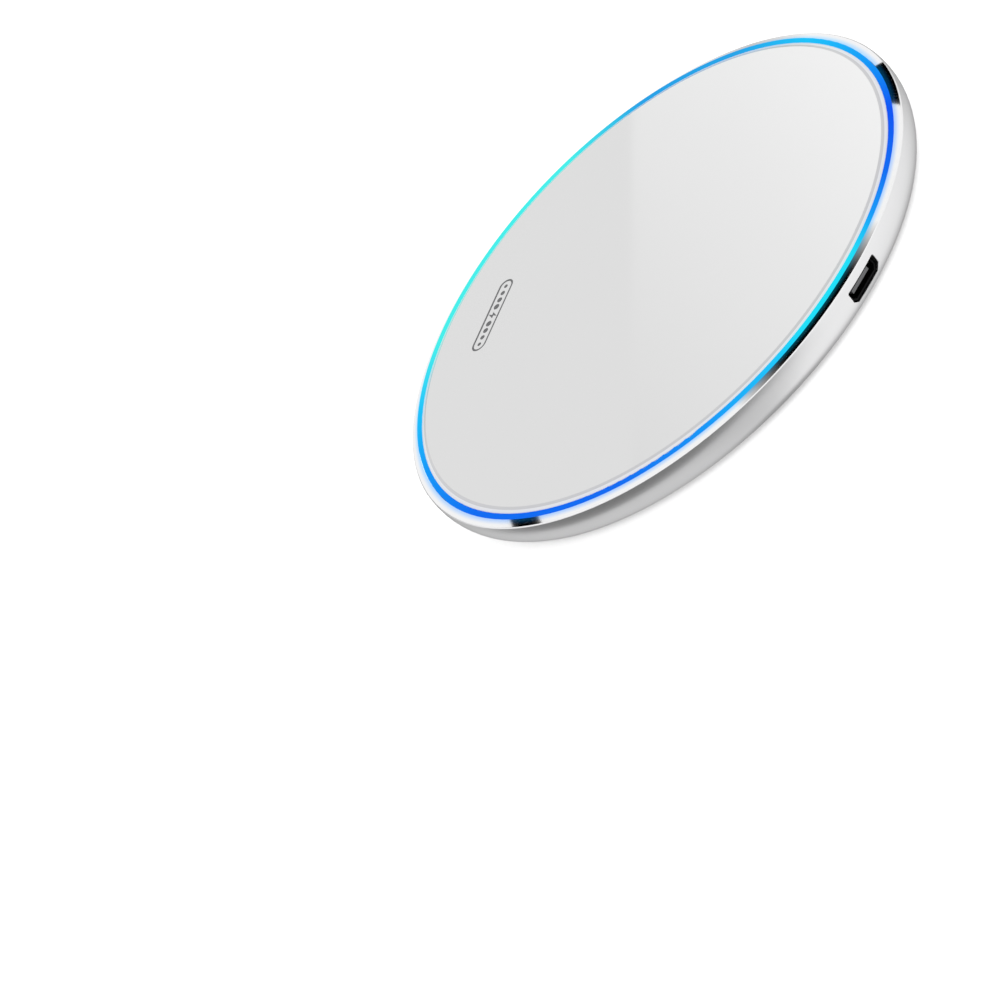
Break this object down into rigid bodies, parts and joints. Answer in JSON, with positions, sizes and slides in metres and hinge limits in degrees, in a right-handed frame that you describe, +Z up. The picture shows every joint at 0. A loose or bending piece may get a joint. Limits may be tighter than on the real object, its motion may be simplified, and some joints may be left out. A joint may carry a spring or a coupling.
{
  "type": "wireless charging pad",
  "caption": "Round flat charging pad: metal body ring, bevelled glass top, thin glowing ring round its edge, side inlet, coil and board inside.",
  "frame": {"origin": "centre of the anti-slip ring's underside, on the table", "axes": "+Z up through the glass, inlet towards -Y"},
  "size_m": [0.1, 0.1, 0.0077],
  "materials": {
    "body_metal": "fine bead-blasted side wall with a mirror-cut chamfer",
    "cover_glass": "polished glass, painted white on its underside, so it looks opaque",
    "light_guide": "clear diffusing light guide, lit from below",
    "adhesive": "foam adhesive tape",
    "flex_circuit": "amber polyimide film",
    "led": "clear resin over a yellow phosphor",
    "tray_plastic": "moulded plastic, fine spark texture",
    "ferrite_adhesive": "thin transfer tape",
    "ferrite": "sintered ferrite, dark grey and slightly grainy",
    "coil_wire": "twisted enamelled copper litz wire",
    "thermistor": "epoxy bead",
    "board": "green solder resist",
    "chip": "black moulding compound",
    "ceramic_chip": "brown ceramic with tinned ends",
    "inductor": "pressed ferrite powder",
    "crystal_can": "nickel can",
    "port_steel": "nickel-plated folded sheet",
    "port_plastic": "grey glass-filled nylon",
    "contact_gold": "gold-plated contacts",
    "base_plastic": "moulded plastic, fine spark texture",
    "screw_steel": "nickel-plated steel",
    "silicone": "matt silicone"
  },
  "bodies": {
    "root": {"body_frame": "body_metal", "cover_glass": "cover_glass", "light_guide": "light_guide", "glass_adhesive": "adhesive", "led_flex": "flex_circuit", "leds": "led", "coil_tray": "tray_plastic", "ferrite_adhesive": "ferrite_adhesive", "ferrite_plate": "ferrite", "coil_winding": "coil_wire", "thermistor": "thermistor", "circuit_board": "board", "controller_chip": "chip", "power_transistors": "chip", "resonant_capacitors": "ceramic_chip", "input_capacitors": "ceramic_chip", "small_components": "ceramic_chip", "power_inductor": "inductor", "crystal": "crystal_can", "port_shell": "port_steel", "port_tongue": "port_plastic", "port_contacts": "contact_gold", "base_cover": "base_plastic", "base_screws": "screw_steel", "antislip_ring": "silicone"}
  },
  "joints": []
}
